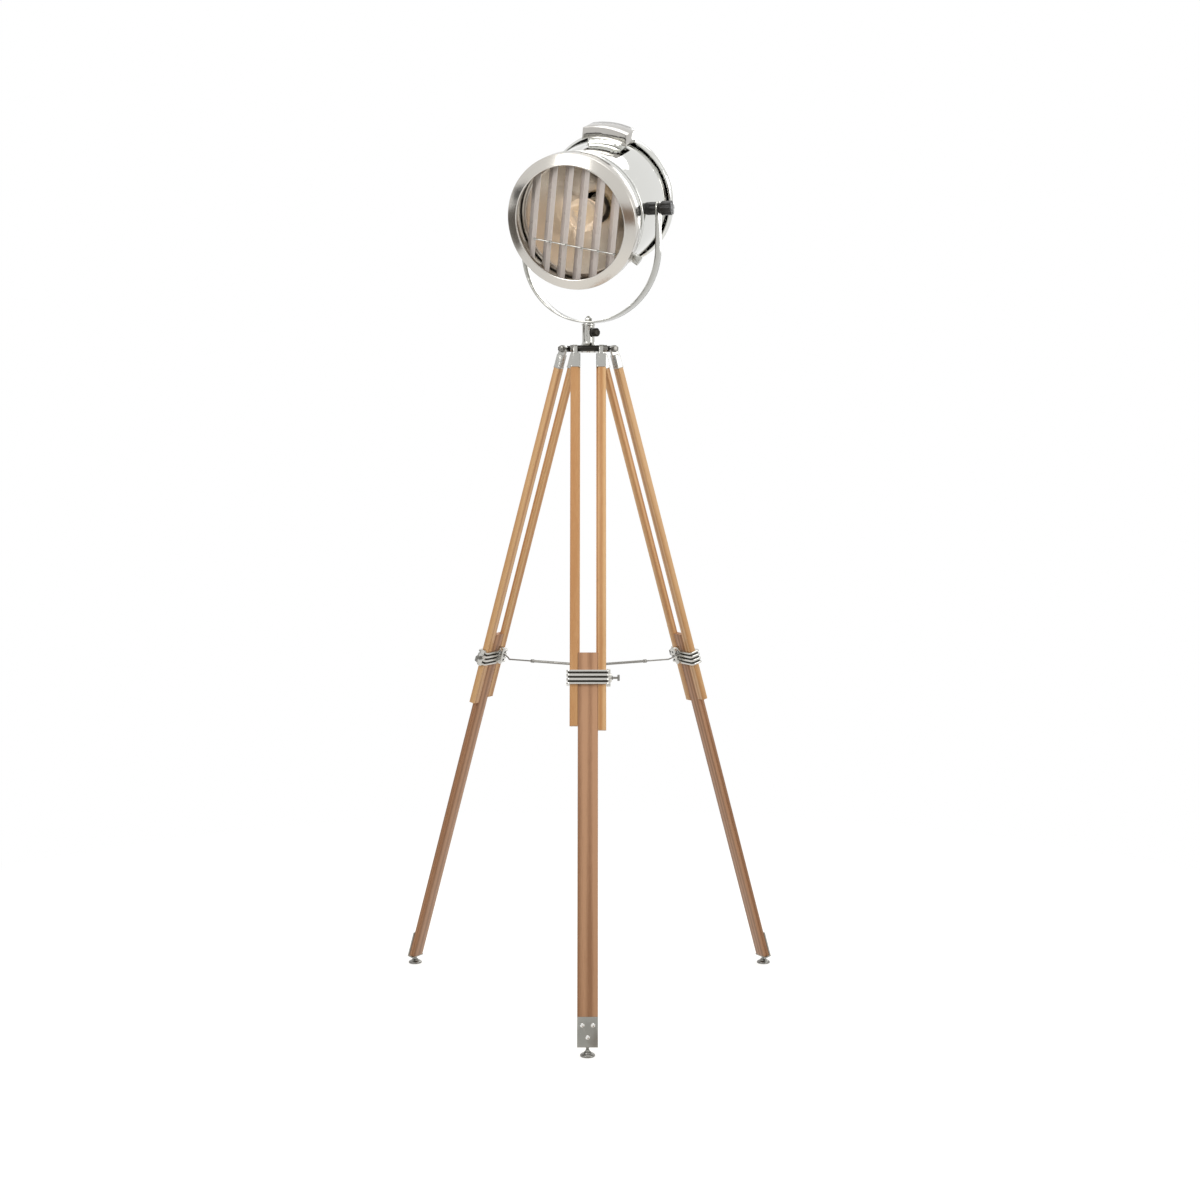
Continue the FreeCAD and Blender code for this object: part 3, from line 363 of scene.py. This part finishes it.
# ---- Leg clamps ----
# A sand-cast band round both rails with three grooves, a boss for the thumbscrew and a hook
# eye behind, nickel plated. The thumbscrews are turned steel with a flat tee handle.
clamp_metal = plated("clamp_nickel", "#C4C2BC", 0.18, 3.0, 0.4, 0.12)
clamp_middle, groove_pitch, groove_half = 598.0, 7.6, 1.95
block_half_width, block_half_depth = 31.75, 5.5
groove_floor, rib_face = 1.9, 3.6


def in_groove_painted_shade(here):
    # here is in mm from the leg's hinge; the grooves lie deeper than the ribs' faces, and their faces are painted
    # dark as painted shade
    up = here.z + clamp_middle
    outward = max(abs(here.x) - block_half_width, abs(here.y) - block_half_depth)
    nearest = min(abs(up - groove_pitch * k) for k in (-1, 0, 1))
    return groove_floor < outward < rib_face and nearest < groove_half


for leg in legs:
    into_leg = leg_place(leg).inverted()
    clamp = dressed("leg_clamp_" + leg, 0.5, clamp_metal)
    # the groove floors are painted dark: painted shade in the recesses
    second_finish(clamp, blackened_and_painted_shade, lambda at: in_groove_painted_shade(into_leg @ at * 1000))
    dressed("thumbscrew_" + leg, 0.3, dark_nickel)


# ---- Lower legs ----
# One oak bar a leg that slides between the rails, rebated to match them. It is cut from
# darker timber than the rails and rubbed smooth by sliding.
for number, leg in enumerate(legs):
    bar_oak = oak("sliding_oak_" + leg, leg_place(leg), "#C0926E", "#966A48", number + 11)
    dressed("lower_leg_" + leg, 0.6, bar_oak)


# ---- Shoes and feet ----
# A bent steel shoe plate held by three bright screws, with a ball stud under it. The foot
# pad is a turned steel cup that swivels on the ball.
shoe_metal = plated("dull_shoe_plate", "#93928C", 0.3, 2.5, 0.3, 0.14)
screw_metal = plated("bright_screws", "#E4E3DF", 0.14, 1.5, 0.1)
plate_face_mm = 7.95
for leg in legs:
    into_leg = leg_place(leg).inverted()
    shoe = dressed("shoe_" + leg, 0.3, shoe_metal)
    second_finish(shoe, screw_metal, lambda at: (into_leg @ at).y * 1000 < -plate_face_mm)
    dressed("foot_" + leg, 0.5, dark_nickel)


# ---- Spreader ----
# A turned centre disc with three tubes, and a hooked steel wire rod that slides in each
# and hangs in the clamp's eye. Dull plated steel.
dressed("spreader_hub", 0.5, dark_nickel)
dressed("spreader_tubes", 0.2, dark_nickel)
for leg in legs:
    dressed("spreader_rod_" + leg, 0, dark_nickel)


# ---- Yoke and post ----
# A flat steel strip bent to a U and polished before plating, bolted to a turned post that
# turns in the hub's sleeve.
strip_nickel = plated("strip_nickel", "#B4B3AD", 0.14, 16.0, 0.15)
dressed("yoke", 0.5, strip_nickel)
dressed("swivel_post", 0.4, strip_nickel)


# ---- Tilt pivots ----
# Compression-moulded black phenolic bushes and six-lobed knobs on steel studs, with the
# faint sheen and fine orange peel that the mould leaves.
def moulded(name, tone, roughness, grain_mm, grain):
    # plastic, ceramic or lacquer: a slightly cloudy tone and gloss over a fine grain
    material, tree = new_material(name)
    spot = add_node(tree, "ShaderNodeTexCoord")
    grains = add_node(tree, "ShaderNodeTexNoise", {"Scale": 1000 / grain_mm, "Detail": 3.0},
                      {"Vector": spot.outputs["Object"]})
    clouds = add_node(tree, "ShaderNodeTexNoise", {"Scale": 1000 / 30, "Detail": 3.0},
                      {"Vector": spot.outputs["Object"]})
    rough = add_node(tree, "ShaderNodeMapRange", {"To Min": roughness - 0.06, "To Max": roughness + 0.1},
                     {"Value": clouds.outputs["Fac"]})
    shade = add_node(tree, "ShaderNodeMix", {"data_type": "RGBA", 6: linear(tone[0]), 7: linear(tone[1])},
                     {0: clouds.outputs["Fac"]})
    bump = add_node(tree, "ShaderNodeBump", {"Strength": grain, "Distance": grain_mm / 4000},
                    {"Height": grains.outputs["Fac"]})
    body = add_node(tree, "ShaderNodeBsdfPrincipled", {"IOR": 1.5},
                    {"Base Color": shade.outputs[2], "Roughness": rough.outputs[0], "Normal": bump.outputs[0]})
    add_node(tree, "ShaderNodeOutputMaterial", {}, {"Surface": body.outputs[0]})
    return material


phenolic = moulded("black_phenolic", ("#141310", "#1E1C19"), 0.34, 1.2, 0.15)
dressed("tilt_bushes", 0.5, phenolic)
dressed("tilt_knob_left", 0.8, phenolic)
dressed("tilt_knob_right", 0.8, phenolic)


# ---- Drum shell ----
# Rolled aluminium sheet, polished to a mirror, with a lapped seam down one side.
# It flares towards the rear rim.
first_blade = Vector(joints["blade_turn_1"]["pos_m"])
last_blade = Vector(joints["blade_turn_6"]["pos_m"])
head_place = place_of(joints["head_tilt"]["pos_m"], last_blade - first_blade, joints["blade_turn_1"]["axis"])


def spun_outline(name, outline, turn=math.tau, steps=192, start=0.0):
    # a closed outline of (station, radius) in mm, spun round the head's axis
    mesh = bpy.data.meshes.new(name)
    mesh.from_pydata([(radius / 1000, -station / 1000, 0) for station, radius in outline],
                     [(at, (at + 1) % len(outline)) for at in range(len(outline))], [])
    piece = bpy.data.objects.new(name, mesh)
    scene.collection.objects.link(piece)
    select_only(piece)
    mesh.transform(Matrix.Rotation(-start, 4, "Y"))
    bpy.ops.object.mode_set(mode="EDIT")
    bpy.ops.mesh.select_all(action="SELECT")
    bpy.ops.mesh.spin(steps=steps, angle=-turn, center=(0, 0, 0), axis=(0, 1, 0))
    bpy.ops.mesh.select_all(action="SELECT")
    bpy.ops.mesh.remove_doubles(threshold=1e-6)
    if turn < math.tau:
        bpy.ops.mesh.select_all(action="DESELECT")
        bpy.ops.mesh.select_non_manifold()
        bpy.ops.mesh.edge_face_add()
    bpy.ops.mesh.select_all(action="SELECT")
    bpy.ops.mesh.normals_make_consistent(inside=False)
    bpy.ops.object.mode_set(mode="OBJECT")
    mesh.transform(head_place)
    return piece


def finish_turned(piece, node, edge_mm, material, extras=()):
    bpy.ops.object.select_all(action="DESELECT")
    for part in (*extras, piece):
        part.select_set(True)
    bpy.context.view_layer.objects.active = piece
    if extras:
        bpy.ops.object.join()
    rounding = piece.modifiers.new("rounded_edges", "BEVEL")
    rounding.width = edge_mm / 1000
    rounding.segments = 2
    rounding.angle_limit = math.radians(28)
    bpy.ops.object.modifier_apply(modifier=rounding.name)
    bpy.ops.object.shade_smooth_by_angle(angle=math.radians(30))
    piece.data.materials.clear()
    piece.data.materials.append(material)
    piece.name = node + "_finished"
    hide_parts(node)
    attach(piece, frame["nodes"][node]["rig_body"])
    return piece


sheet = 1.2
drum_front, drum_rear, drum_front_radius, drum_rear_radius = 34.0, -98.0, 107.294, 117.0
drum_outline = [(drum_front, drum_front_radius), (drum_rear, drum_rear_radius),
                (drum_rear, drum_rear_radius - sheet), (drum_front, drum_front_radius - sheet)]
mirror_metal = plated("mirror_aluminium", "#DADAD6", 0.06, 60.0, 0.06, 0.03, head_place)
drum = spun_outline("drum", drum_outline)
seam_angle, seam_wide, seam_steps, lap = math.radians(42), math.radians(5.5), 6, 0.45
seam_front, seam_front_radius, seam_rear, seam_rear_radius, tuck = 33.0, 107.3, -90.0, 116.4, 0.1
seam_outline = [(seam_front, seam_front_radius + lap), (seam_rear, seam_rear_radius + lap),
                (seam_rear, seam_rear_radius - tuck), (seam_front, seam_front_radius - tuck)]
seam = spun_outline("seam", seam_outline, seam_wide, seam_steps, seam_angle)
throat_middle, throat_size = (0, 0.0615, 0.13), (0.064, 0.037, 0.14)

bpy.ops.object.select_all(action="DESELECT")
bpy.ops.mesh.primitive_cube_add(size=1)
throat_room = bpy.context.object
throat_room.data.transform(head_place @ Matrix.Translation(throat_middle)
                           @ Matrix.Diagonal((*throat_size, 1)))
opening = drum.modifiers.new("throat_opening", "BOOLEAN")
opening.object = throat_room
opening.solver = "EXACT"
select_only(drum)
bpy.ops.object.modifier_apply(modifier=opening.name)
bpy.data.objects.remove(throat_room)
into_head = head_place.inverted()
shadow_line_end = seam_angle + seam_wide / seam_steps
flare = (drum_rear_radius - drum_front_radius) / (drum_front - drum_rear)


def on_seam_painted_shadow(at):
    # the lap's folded edge, painted dark along a thin strip as a painted shadow line
    here = into_head @ at
    turn = math.atan2(here.z, here.x)
    cone = drum_front_radius + (drum_front + here.y * 1000) * flare
    return seam_angle < turn < shadow_line_end and math.hypot(here.x, here.z) * 1000 > cone + lap / 2


drum = finish_turned(drum, "drum_shell", 0.12, mirror_metal, (seam,))
# a thin strip along the lap's edge is painted dark: a painted shadow
second_finish(drum, blackened_and_painted_shade, on_seam_painted_shadow)


# ---- Front collar ----
# A spun aluminium ring with a rolled bead at its rear, polished like the drum.
collar_front, collar_front_radius, collar_rear_radius, bead_station, bead = 81.0, 117.5, 112.0, 38.0, 2.5
collar_outline = [(collar_front, collar_front_radius), (bead_station + bead, collar_rear_radius)]
for step in range(1, 17):
    swing = math.pi * step / 16
    collar_outline.append((bead_station + bead * math.cos(swing), collar_rear_radius + bead * math.sin(swing)))
collar_outline += [(drum_front, collar_rear_radius), (drum_front, drum_front_radius),
                   (drum_front + sheet, drum_front_radius), (drum_front + sheet, collar_rear_radius - sheet),
                   (bead_station + bead, collar_rear_radius - sheet), (collar_front, collar_front_radius - sheet)]
finish_turned(spun_outline("collar", collar_outline), "front_collar", 0.25, mirror_metal)


# ---- Rear cover ----
# A spun aluminium pan with a double rolled rim and a shallow dome, and a moulded gland
# where the mains lead goes in.
rim_radius, rim_rear, dome_depth = 122.2, -107.0, 32.0
dome_radius = rim_radius - 9
cover_outline = [(drum_rear + 7, drum_rear_radius + 0.6), (drum_rear + 7, rim_radius - 2.6),
                 (drum_rear + 5.5, rim_radius - 0.8), (drum_rear + 3, rim_radius - 0.8),
                 (drum_rear + 1.8, rim_radius - 2.2), (drum_rear + 0.4, rim_radius - 0.9),
                 (drum_rear - 1.4, rim_radius), (rim_rear + 1.8, rim_radius), (rim_rear + 0.4, rim_radius - 1.6)]
for step in range(1, 15):
    swing = math.pi / 2 * step / 15
    cover_outline.append((rim_rear - dome_depth * math.sin(swing),
                          dome_radius * math.cos(swing) + 4 * math.sin(swing)))
cover_outline += [(rim_rear - dome_depth, 1.0), (rim_rear - dome_depth + sheet, 1.0)]
for step in range(14, 0, -1):
    swing = math.pi / 2 * step / 15
    cover_outline.append((rim_rear - (dome_depth - sheet) * math.sin(swing),
                          dome_radius * math.cos(swing) + 4 * math.sin(swing) - sheet))
cover_outline += [(rim_rear + 0.5, rim_radius - 11), (drum_rear - 1.2, drum_rear_radius - 1),
                  (drum_rear - 1.2, drum_rear_radius), (drum_rear, drum_rear_radius),
                  (drum_rear, drum_rear_radius + 0.6)]
finish_turned(spun_outline("cover", cover_outline), "rear_cover", 0.3, mirror_metal)
dressed("cord_gland", 0.4, phenolic)


# ---- Vent ----
# A folded sheet cap over a louvred throat lets the bulb's heat out. Four cheese-head
# screws hold the cap.
vent_metal = plated("vent_aluminium", "#B9B6B1", 0.12, 30.0, 0.1, 0.04, head_place)
dressed("vent_cap", 0.5, vent_metal)
dressed("vent_throat", 0.2, mirror_metal)
dressed("vent_screws", 0.3, strip_nickel)


# ---- Lamp ----
# Spun reflector with a warm satin finish, a glazed ceramic holder on a strap, and a
# clear bulb that is lit, so the inside of the head glows warm.
reflector_metal = plated("reflector_aluminium", "#EBE5DC", 0.24, 6.0, 0.12, 0.05, head_place)
ceramic = moulded("glazed_ceramic", ("#D8D2C4", "#E2DDD0"), 0.22, 2.0, 0.05)
cap_brass = plated("nickelled_brass", "#CDB98A", 0.22, 3.0, 0.2)
mouth, dish_rear, deepest, reflector_rim = 66.0, -22.0, -30.0, 100.0
dish = []
for step in range(17):
    station = mouth - (mouth - dish_rear) * step / 16
    dish.append((station, reflector_rim * math.sqrt((station - deepest) / (mouth - deepest))))
flange_radius = 114.32
reflector_outline = dish + [(station - sheet, radius) for station, radius in reversed(dish)]
reflector_outline += [(mouth - sheet, flange_radius), (mouth, flange_radius)]
dish_ring = spun_outline("dish", reflector_outline)
finish_turned(dish_ring, "reflector", 0.2, reflector_metal)
dressed("lampholder", 0.6, ceramic)
dressed("bulb_cap", 0.4, cap_brass)

lit_glass, tree = new_material("lit_bulb_glass")
local = local_space(tree, head_place)
haze = add_node(tree, "ShaderNodeTexNoise", {"Scale": 1000 / 14, "Detail": 2.0}, {"Vector": local.outputs[0]})
tint = add_node(tree, "ShaderNodeMix", {"data_type": "RGBA", 6: linear("#FFEBD2"), 7: linear("#FFF4E6")},
                {0: haze.outputs["Fac"]})
glass = add_node(tree, "ShaderNodeBsdfPrincipled",
                 {"IOR": 1.52, "Roughness": 0.08, "Transmission Weight": 0.85, "Emission Strength": 0.16},
                 {"Base Color": tint.outputs[2], "Emission Color": tint.outputs[2]})
add_node(tree, "ShaderNodeOutputMaterial", {}, {"Surface": glass.outputs[0]})
dressed("bulb_glass", 0, lit_glass)


# ---- Front door ----
# A spun aluminium bezel, turned bright on its face, that hinges on one side and is held by
# a thumb nut on the other. The shutter band is rolled strip inside it.
turned_metal, tree = new_material("turned_aluminium")
local = local_space(tree, head_place)
flat = add_node(tree, "ShaderNodeVectorMath", {"operation": "MULTIPLY", 1: (1, 0, 1)}, {0: local.outputs[0]})
radius = add_node(tree, "ShaderNodeVectorMath", {"operation": "LENGTH"}, {0: flat.outputs[0]})
groove_mm = 0.9
groove = add_node(tree, "ShaderNodeMath", {"operation": "MULTIPLY", 1: 1000 / groove_mm},
                  {0: radius.outputs["Value"]})
rings = add_node(tree, "ShaderNodeTexNoise", {"noise_dimensions": "1D", "Scale": 1.0, "Detail": 3.0},
                 {"W": groove.outputs[0]})
rough = add_node(tree, "ShaderNodeMapRange", {"To Min": 0.14, "To Max": 0.24}, {"Value": rings.outputs["Fac"]})
bump = add_node(tree, "ShaderNodeBump", {"Strength": 0.15, "Distance": 0.0002},
                {"Height": rings.outputs["Fac"]})
metal = add_node(tree, "ShaderNodeBsdfPrincipled", {"Base Color": linear("#C9C5BE"), "Metallic": 1.0},
                 {"Roughness": rough.outputs[0], "Normal": bump.outputs[0]})
add_node(tree, "ShaderNodeOutputMaterial", {}, {"Surface": metal.outputs[0]})
front_face, bezel_radius, window_radius, slope, skirt_rear = 107.0, 121.0, 101.0, 8.0, 75.0
lip_wide, lip_depth, back_fall = 3.4, 2.2, 0.48


def bezel_back(radius):
    # the station of the bezel's back face, which falls away outside the window's lip
    return front_face - lip_depth - (radius - window_radius - lip_wide) * back_fall


bezel_outline = [(skirt_rear, bezel_radius), (front_face - slope - 1.2, bezel_radius),
                 (front_face - slope - 0.2, bezel_radius - 0.6), (front_face - 0.6, window_radius + 3.2),
                 (front_face, window_radius + 1.8), (front_face - 0.6, window_radius + 0.4),
                 (front_face - 1.8, window_radius), (front_face - 4.2, window_radius),
                 (front_face - 4.2, window_radius + sheet), (front_face - 2.4, window_radius + 1.4),
                 (bezel_back(window_radius + lip_wide), window_radius + lip_wide),
                 (bezel_back(bezel_radius - 2), bezel_radius - 2),
                 (front_face - slope - 2.6, bezel_radius - sheet), (skirt_rear, bezel_radius - sheet)]
bezel = spun_outline("bezel_ring", bezel_outline)
fittings = bpy.data.objects.new("bezel_fittings", frame["nodes"]["bezel"].data.copy())
scene.collection.objects.link(fittings)
select_only(fittings)
bpy.ops.object.mode_set(mode="EDIT")
bpy.ops.mesh.select_all(action="SELECT")
bpy.ops.mesh.customdata_custom_splitnormals_clear()
bpy.ops.mesh.remove_doubles(threshold=1e-6)
bpy.ops.mesh.select_all(action="DESELECT")
bpy.ops.object.mode_set(mode="OBJECT")
for face in fittings.data.polygons:
    at = into_head @ face.center
    far_out = math.hypot(at.x, at.z) * 1000
    face.select = far_out < bezel_radius + 0.05 and -at.y * 1000 > skirt_rear - 0.1
bpy.ops.object.mode_set(mode="EDIT")
bpy.ops.mesh.delete(type="FACE")
bpy.ops.object.mode_set(mode="OBJECT")
finish_turned(bezel, "bezel", 0.25, turned_metal, (fittings,))
band_radius, band_rear, strip, band_gap = 108.0, 71.0, 1.5, 0.02
band_outline = [(band_rear, band_radius), (bezel_back(band_radius) - band_gap, band_radius),
                (bezel_back(band_radius + strip) - band_gap, band_radius + strip),
                (band_rear, band_radius + strip)]
finish_turned(spun_outline("band", band_outline), "shutter_band", 0.2, turned_metal)
dressed("door_hinge", 0.3, strip_nickel)
dressed("catch_stud", 0.2, strip_nickel)
dressed("catch_nut", 0.25, strip_nickel)


# ---- Shutter ----
# Six blades cut from pale lacquered aluminium sheet, pinned top and bottom in the band
# and joined by a bright tie bar, so they all turn together.
blade_lacquer = moulded("lacquered_blades", ("#E6DDD8", "#F0E9E5"), 0.26, 3.0, 0.03)
for number in range(1, 7):
    dressed("slat_%d" % number, 0.15, blade_lacquer)
dressed("tie_bar", 0.15, strip_nickel)
